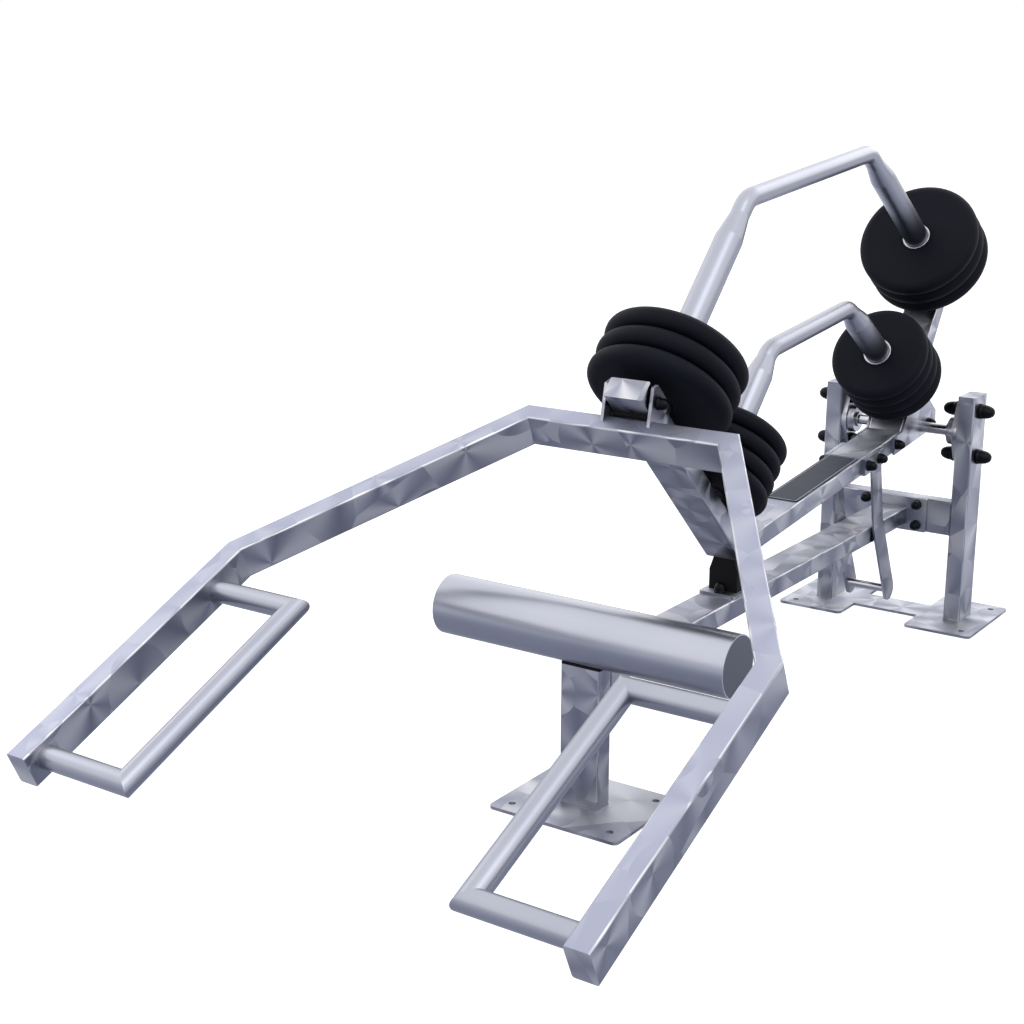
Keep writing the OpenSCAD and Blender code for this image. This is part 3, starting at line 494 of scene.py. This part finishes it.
# %% Seat frames and disc sizes
MM = 0.001
FRONT_CORNER = Vector((0.0, -896.0, -20.0)) * MM
REAR_CORNER = Vector((0.0, -115.0, 20.0)) * MM
FRONT_ANGLE = math.radians(130.0)
REAR_ANGLE = math.radians(50.0)
STRUT_DEPTH = 40.0 * MM
FRONT_WAY = Vector((0.0, math.sin(FRONT_ANGLE), -math.cos(FRONT_ANGLE)))
REAR_WAY = Vector((0.0, -math.sin(REAR_ANGLE), math.cos(REAR_ANGLE)))
COLLAR_LENGTH = 18.0 * MM
BENDS = {
    "upper": (Vector((0.0, -780.0, 666.0)) * MM, Vector((0.0, -223.0, 666.0)) * MM),
    "lower": (Vector((0.0, -690.0, 352.0)) * MM, Vector((0.0, -323.0, 352.0)) * MM),
}
DISCS = {"upper": (137.5 * MM, 41.0 * MM, 3), "lower": (110.0 * MM, 36.0 * MM, 4)}


def seat_frame(level, side):
    """Frame of a seat: origin on the strut's face, Z up the seat."""
    front_bend, rear_bend = BENDS[level]
    if side == "front":
        length = (front_bend - FRONT_CORNER).dot(FRONT_WAY) - STRUT_DEPTH
        foot, turn = front_bend - length * FRONT_WAY, FRONT_ANGLE - math.pi
    else:
        length = (rear_bend - REAR_CORNER).dot(REAR_WAY)
        foot, turn = rear_bend - length * REAR_WAY, REAR_ANGLE
    return LEVER @ Matrix.Translation(foot) @ Matrix.Rotation(turn, 4, "X")


# %% Disc and bush profiles
RIM_FLAT = 2.4 * MM
RIM_REACH = 1.2
SKIN = 0.3 * MM
BUSH_RADIUS = 31.0 * MM
BORE_RADIUS = 27.3 * MM
END_GAP = 0.02 * MM
GROOVE_DEPTH = 1.1 * MM


def disc_profile(radius, thick):
    """Rubber from the bush outward: a shallow ring, a flat face and a round rim."""
    low, high = SKIN, thick - SKIN
    ring = BUSH_RADIUS + 7.0 * MM
    top = [
        (BUSH_RADIUS, high - 1.0 * MM), (ring - 1.2 * MM, high - 1.0 * MM),
        (ring, high - 0.15 * MM), (ring + 1.0 * MM, high),
    ]
    rim = (thick - RIM_FLAT) / 2 - SKIN
    for r, z in arc((0.0, high - rim), rim, 90.0, 0.0, 12):
        top.append((radius + (r - rim) * RIM_REACH, z))
    bottom = [(r, thick - z) for r, z in reversed(top)]
    return [(r, min(max(z, low), high)) for r, z in top + bottom]


def bush_profile(thick):
    """Steel from the bore outward, with a groove turned in each end."""
    land, groove = -END_GAP, -GROOVE_DEPTH
    ends = [
        (BORE_RADIUS, -0.5 * MM), (BORE_RADIUS + 0.5 * MM, land), (28.5 * MM, land),
        (28.8 * MM, groove), (30.1 * MM, groove), (30.4 * MM, land),
        (BUSH_RADIUS, -0.2 * MM),
    ]
    top = [(r, thick + z) for r, z in ends]
    bottom = [(r, -z) for r, z in reversed(ends)]
    return top + bottom


# %% Make and place the discs
disc_count = 0
for level, (radius, thick, count) in DISCS.items():
    for side in ("front", "rear"):
        seat = seat_frame(level, side)
        for number in range(1, count + 1):
            node_name = f"{level}_{side}_disc_{number}"
            lift = Matrix.Translation((0.0, 0.0, COLLAR_LENGTH + (count - number) * thick))
            rubber = spin("rubber_" + node_name, disc_profile(radius, thick))
            bush = spin("bush_" + node_name, bush_profile(thick), 96)
            for piece, finish, slot in (
                (rubber, disc_rubber, "disc_rubber"), (bush, bright, "bolt_steel"),
            ):
                piece.data.transform(seat @ lift)
                smooth_by_angle(piece, 40.0)
                place_piece(piece, node_name, finish)
            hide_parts(node_name)
            disc_count += 1
print("discs:", disc_count)

# %% [markdown]
# ## Domed caps
# A moulded cap snaps over every nut, so that nothing sharp stands out. It has a flange that
# lies on the steel, a shallow neck and a dome that narrows to a rounded tip, and it is hollow
# for the nut. The bearings' caps are larger than all the others. Caps that ride on the same
# body form one mesh.

# %% Cap profile and sets
CAP_STEPS = 40
CAP_FULLNESS = 0.75
BIG_CAP = (17.5 * MM, 34.0 * MM)
SMALL_CAP = (12.0 * MM, 20.0 * MM)
HINGE = Vector((0.0, -1.2130, 0.3889))
YOKE_DROP = math.radians(18.0)
YOKE = LEVER @ Matrix.Translation(HINGE) @ Matrix.Rotation(YOKE_DROP, 4, "X")
STOP_FRONT = -0.896 * math.cos(REST_TILT) + 0.020 * math.sin(REST_TILT) + 1.0 * MM
STOP_BOLTS = (STOP_FRONT - 0.0125, STOP_FRONT + 0.070 + 0.0125)


def cap_profile(radius, height):
    """A hollow cap from its flange to its tip and back down its pocket."""
    flange, neck = 0.17 * height, 0.92 * radius
    soft = 0.05 * radius
    points = [
        (0.80 * radius, 0.0), (radius - soft, 0.0), (radius, soft), (radius, flange - soft),
        (radius - soft, flange), (neck, flange + soft),
    ]
    start = flange + soft
    for x, z in arc((0.0, 0.0), 1.0, 9.0, 90.0, 14)[:-1]:
        points.append((neck * x**CAP_FULLNESS, start + (height - start) * z))
    points += [(0.0, height), (0.0, 0.66 * height), (0.5 * radius, 0.66 * height)]
    return points + [(0.80 * radius, 0.5 * height)]


def cap_set(node_name, body, places):
    """One mesh with a cap at every (frame, place, way, size)."""
    shape = bmesh.new()
    for base, place, way, (radius, height) in places:
        one = spin("cap", cap_profile(radius, height), CAP_STEPS)
        turn = Vector(way).to_track_quat("Z", "Y").to_matrix().to_4x4()
        one.data.transform(base @ Matrix.Translation(place) @ turn)
        shape.from_mesh(one.data)
        bpy.data.meshes.remove(one.data)
    mesh = bpy.data.meshes.new("domed_" + node_name)
    shape.to_mesh(mesh)
    shape.free()
    piece = bpy.data.objects.new("domed_" + node_name, mesh)
    bpy.context.scene.collection.objects.link(piece)
    smooth_by_angle(piece, 50.0)
    place_piece(piece, body, cap_plastic)
    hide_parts(node_name)
    return piece


# %% Make and place the caps
GROUND = Matrix.Identity(4)
stand_places = [(GROUND, (0.0, y, 0.271), (0, 0, 1), SMALL_CAP) for y in STOP_BOLTS]
for x in (-1, 1):
    for z in (0.398, 0.504):
        stand_places.append((GROUND, (x * 0.182, 0.0, z), (x, 0, 0), BIG_CAP))
        stand_places.append((GROUND, (x * 0.130, 0.0, z), (-x, 0, 0), BIG_CAP))
    for z in (0.225, 0.275):
        stand_places.append((GROUND, (x * 0.063, -0.046, z), (0, -1, 0), SMALL_CAP))
        stand_places.append((GROUND, (x * 0.063, 0.0, z), (0, 1, 0), SMALL_CAP))
cap_set("stand_caps", "stand", stand_places)

LEVER_CAPS = ((-0.148, 0.045), (0.036, 0.045), (-0.313, 0.049), (-0.256, 0.049))
lever_places = [
    (LEVER, (side * half, y, 0.0), (side, 0, 0), SMALL_CAP)
    for y, half in LEVER_CAPS for side in (-1, 1)
]
cap_set("lever_caps", "lever", lever_places)
cap_set("hinge_cap", "yoke", [(YOKE, (0.050, 0.0, 0.0), (1, 0, 0), SMALL_CAP)])
print("caps on the stand:", len(stand_places), "on the lever:", len(lever_places))

# %% [markdown]
# ## Weld beads
# The tubes are welded, and a bead stays visible where the grinder can't reach: round the
# posts' feet, the crossbar's ends and the hand loops' ends. A bead is a thin tube that
# follows the joint, with a ripple for every dab of the torch. It is laid as rings of points
# along a closed path, a little thicker and thinner in turn.

# %% Bead maker
BEAD_SIDES = 8
RIPPLE_PITCH = 0.0034
RIPPLE_STEPS = 4


def resample(points, step):
    """Points at an even step along a closed path."""
    closed = points + [points[0]]
    lengths = [(b - a).length for a, b in zip(closed, closed[1:])]
    total = sum(lengths)
    count = max(12, round(total / step))
    made, leg, gone = [], 0, 0.0
    for k in range(count):
        want = total * k / count
        while gone + lengths[leg] < want:
            gone += lengths[leg]
            leg += 1
        made.append(closed[leg].lerp(closed[leg + 1], (want - gone) / lengths[leg]))
    return made


def bead(name, body, points, radius):
    """A rippled weld bead along a closed path."""
    path = resample(points, RIPPLE_PITCH / RIPPLE_STEPS)
    count = len(path)
    shape = bmesh.new()
    rings = []
    for k, point in enumerate(path):
        way = (path[(k + 2) % count] - path[k - 2]).normalized()
        side = way.orthogonal().normalized()
        lift = way.cross(side)
        ripple = 1.0 + 0.10 * math.sin(2.0 * math.pi * k / RIPPLE_STEPS)
        ring = []
        for j in range(BEAD_SIDES):
            turn = 2.0 * math.pi * j / BEAD_SIDES
            offset = side * math.cos(turn) + lift * math.sin(turn)
            ring.append(shape.verts.new(point + offset * radius * ripple))
        rings.append(ring)
    for k in range(count):
        here, after = rings[k], rings[(k + 1) % count]
        shift = min(
            range(BEAD_SIDES), key=lambda s: (after[s].co - here[0].co).length_squared
        )
        for j in range(BEAD_SIDES):
            a, b = here[j], here[(j + 1) % BEAD_SIDES]
            c = after[(j + 1 + shift) % BEAD_SIDES]
            d = after[(j + shift) % BEAD_SIDES]
            shape.faces.new((a, b, c, d))
    bmesh.ops.recalc_face_normals(shape, faces=shape.faces)
    mesh = bpy.data.meshes.new(name)
    shape.to_mesh(mesh)
    shape.free()
    mesh.polygons.foreach_set("use_smooth", [True] * len(mesh.polygons))
    piece = bpy.data.objects.new(name, mesh)
    bpy.context.scene.collection.objects.link(piece)
    return place_piece(piece, body, welded)


def rounded_path(frame_matrix, width, depth, corner, steps=5):
    """A rectangle with round corners in a frame's XY plane."""
    points = []
    for sx, sy, start in ((1, 1, 0.0), (-1, 1, 90.0), (-1, -1, 180.0), (1, -1, 270.0)):
        middle = (sx * (width / 2 - corner), sy * (depth / 2 - corner))
        for x, y in arc(middle, corner, start, start + 90.0, steps):
            points.append(frame_matrix @ Vector((x, y, 0.0)))
    return points


# %% Beads on the stand
PLATE_TOP = 6.0 * MM
POST_X = 162.0 * MM
FRONT_POST_Y = -1390.0 * MM
CORNER = 4.0 * MM
BEAD = 0.9 * MM
QUARTER = math.radians(90.0)

for word, side in (("left", -1), ("right", 1)):
    foot = Matrix.Translation((side * POST_X, 0.0, PLATE_TOP))
    bead(f"weld_{word}_post_foot", "stand", rounded_path(foot, 40 * MM, 80 * MM, CORNER), BEAD)
    end = Matrix.Translation((side * 142.0 * MM, -0.020, 0.250)) @ Matrix.Rotation(QUARTER, 4, "Y")
    bead(f"weld_{word}_crossbar_end", "stand", rounded_path(end, 80 * MM, 40 * MM, CORNER), BEAD)
foot = Matrix.Translation((0.0, FRONT_POST_Y, PLATE_TOP))
bead("weld_front_post_foot", "stand", rounded_path(foot, 80 * MM, 40 * MM, CORNER), BEAD)
flange = Matrix.Translation((0.0, -0.046, 0.245)) @ Matrix.Rotation(QUARTER, 4, "X")
bead("weld_floor_beam_rear", "stand", rounded_path(flange, 80 * MM, 40 * MM, CORNER), BEAD)
print("stand beads laid")

# %% Beads on the yoke's hand loops
LEG_FACE_X = 489.0 * MM
LOOP_MIDDLE_Z = -(22.0 + 30.0) * MM
LOOP_ROWS = {"rear": -(22.5 + 592.0) * MM, "front": -(22.5 + 1009.0) * MM}
GRIP_RADIUS = 19.0 * MM

for word, side in (("left", -1), ("right", 1)):
    for row, y in LOOP_ROWS.items():
        middle = Vector((side * LEG_FACE_X, y, LOOP_MIDDLE_Z))
        path = [
            YOKE @ (middle + Vector((0.0, dy, dz)))
            for dy, dz in arc((0.0, 0.0), GRIP_RADIUS, 0.0, 352.5, 47)
        ]
        bead(f"weld_{word}_loop_{row}", "yoke", path, BEAD)
print("loop beads laid")

# %% [markdown]
# ## Floor, sky and lamps
# The photograph's ground is plain white. The floor and the sky show white to the camera,
# and the floor keeps a faint shadow. In the steel, the floor is painted a colder tone and its
# glow is painted darker near the machine than far away, a painted shade round the machine,
# and the sky is brighter overhead. One large lamp stands to the front right and high up, as
# the highlights on the loops and the foot tube say, and a weaker one fills from the left. A
# third one behind lifts the top edges off the background.

# %% Sky
SKY_RISE = 0.26
SKY_OVERHEAD = 1.95
SKY_SOFT = 0.30
world = bpy.data.worlds.new("studio_sky")
bpy.context.scene.world = world
world.use_nodes = True
sky = world.node_tree
sky.nodes.clear()
rays = add_node(sky, "LightPath")
seen = maths(sky, "MAXIMUM", rays.outputs["Is Camera Ray"], rays.outputs["Is Transmission Ray"])
height = add_node(sky, "SeparateXYZ", {0: add_node(sky, "TexCoord").outputs["Generated"]})
sockets = {"Value": height.outputs["Z"], "From Min": 0.0, "From Max": SKY_RISE}
sockets.update({"To Min": 1.0, "To Max": SKY_OVERHEAD})
overhead = add_node(sky, "MapRange", sockets, interpolation_type="SMOOTHSTEP").outputs["Result"]
soft = maths(sky, "MULTIPLY", overhead, SKY_SOFT)
glossy = rays.outputs["Is Glossy Ray"]
lit = add_node(sky, "Mix", {0: glossy, 2: soft, 3: overhead}, data_type="FLOAT").outputs[0]
level = add_node(sky, "Mix", {0: seen, 2: lit, 3: 1.0}, data_type="FLOAT").outputs[0]
background = add_node(sky, "Background", {"Color": (1.0, 1.0, 1.0, 1.0), "Strength": level})
add_node(sky, "OutputWorld", {"Surface": background.outputs[0]})

print("sky rises to", SKY_OVERHEAD, "overhead")

# %% Floor
FLOOR_SIZE = 80.0
FLOOR_MIDDLE = (0.0, -1.1, 0.0)
FLOOR_GLOW_SEEN = 0.72
FLOOR_TONE = (0.80, 0.80, 0.81, 1.0)
# Painted reflection: the cold tone that the floor shows only in the steel.
FLOOR_TONE_IN_STEEL = (0.56, 0.60, 0.76, 1.0)
NEAR, FAR = 0.4, 3.0
GLOW_NEAR, GLOW_FAR = 0.06, 0.70
bpy.ops.mesh.primitive_plane_add(size=FLOOR_SIZE, location=(0.0, 0.0, -0.0005))
floor = bpy.context.object
floor.name = "studio_floor"
pale, tree, shader = new_finish("pale_studio_floor")
shader.inputs["Roughness"].default_value = 0.9
shader.inputs["Specular IOR Level"].default_value = 0.1
rays = add_node(tree, "LightPath")
seen = maths(tree, "MAXIMUM", rays.outputs["Is Camera Ray"], rays.outputs["Is Transmission Ray"])
seen_glow = maths(tree, "MULTIPLY", seen, FLOOR_GLOW_SEEN)
in_steel = rays.outputs["Is Glossy Ray"]
# Painted shade: the floor's glow in the steel is kept low near the machine and rises far away.
away = vectors(tree, "DISTANCE", add_node(tree, "TexCoord").outputs["Object"], FLOOR_MIDDLE)
sockets = {"Value": away, "From Min": NEAR, "From Max": FAR}
sockets.update({"To Min": GLOW_NEAR, "To Max": GLOW_FAR})
far_glow = add_node(tree, "MapRange", sockets, interpolation_type="SMOOTHSTEP").outputs["Result"]
glow = maths(tree, "ADD", seen_glow, maths(tree, "MULTIPLY", in_steel, far_glow))
sockets = {0: in_steel, 6: FLOOR_TONE, 7: FLOOR_TONE_IN_STEEL}
floor_tone = add_node(tree, "Mix", sockets, data_type="RGBA").outputs[2]
tree.links.new(floor_tone, shader.inputs["Base Color"])
shader.inputs["Emission Color"].default_value = (1.0, 1.0, 1.0, 1.0)
tree.links.new(glow, shader.inputs["Emission Strength"])
floor.data.materials.append(pale)
print("floor", FLOOR_SIZE, "m")

# %% Lamps
AIM = Vector((0.0, -1.1, 0.55))
LAMPS = {
    "key_right": ((2.6, -2.7, 4.2), 3.4, 60.0),
    "fill_left": ((-4.2, -2.0, 2.6), 3.0, 25.0),
    "rim_rear": ((0.8, 4.0, 3.4), 3.0, 35.0),
}
for name, (place, size, watts) in LAMPS.items():
    data = bpy.data.lights.new(name, "AREA")
    data.size, data.energy = size, watts
    lamp = bpy.data.objects.new(name, data)
    bpy.context.scene.collection.objects.link(lamp)
    lamp.location = place
    lamp.rotation_euler = (AIM - Vector(place)).to_track_quat("-Z", "Y").to_euler()
    lamp.visible_camera = False
bpy.context.scene.view_settings.view_transform = "Standard"
print("lamps:", ", ".join(LAMPS))
